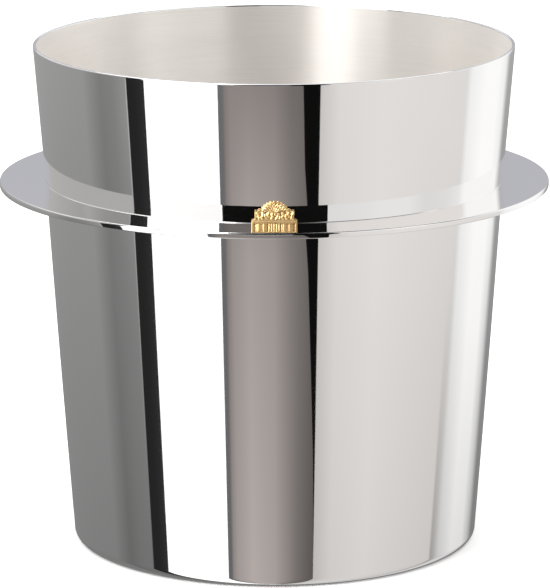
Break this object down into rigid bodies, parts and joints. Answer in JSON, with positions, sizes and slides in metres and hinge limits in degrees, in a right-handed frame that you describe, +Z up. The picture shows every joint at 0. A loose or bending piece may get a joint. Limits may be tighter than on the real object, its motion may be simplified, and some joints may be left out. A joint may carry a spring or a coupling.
{
  "type": "wine cooler bucket",
  "caption": "Tapered mirror-silver wine cooler bucket with a satin inside, a flat collar plate around its upper part and a small gilt ornament standing on the collar.",
  "frame": {"origin": "centre of the standing ring, on the surface it rests on, which is the bottom centre of the bounding box", "axes": "+Z up along the bucket's axis, -Y to the front where the gilt ornament stands, +X to the right seen from the front"},
  "size_m": [0.245, 0.245, 0.225],
  "materials": {
    "polished_silver": "mirror-polished silver plate outside, brushed satin inside the bucket",
    "satin_silver": "warm white brushed satin silver plate",
    "gilt": "polished gilding on a crisp casting, darker in the recesses",
    "screw_steel": "plain turned stainless steel"
  },
  "bodies": {
    "root": {"body_wall": "polished_silver", "base_disc": "satin_silver", "base_seam": "satin_silver", "collar_plate": "polished_silver", "collar_seam_top": "polished_silver", "collar_seam_under": "polished_silver", "ornament_plinth": "gilt", "ornament_crest": "gilt", "ornament_screw_left": "screw_steel", "ornament_screw_right": "screw_steel"}
  },
  "joints": []
}
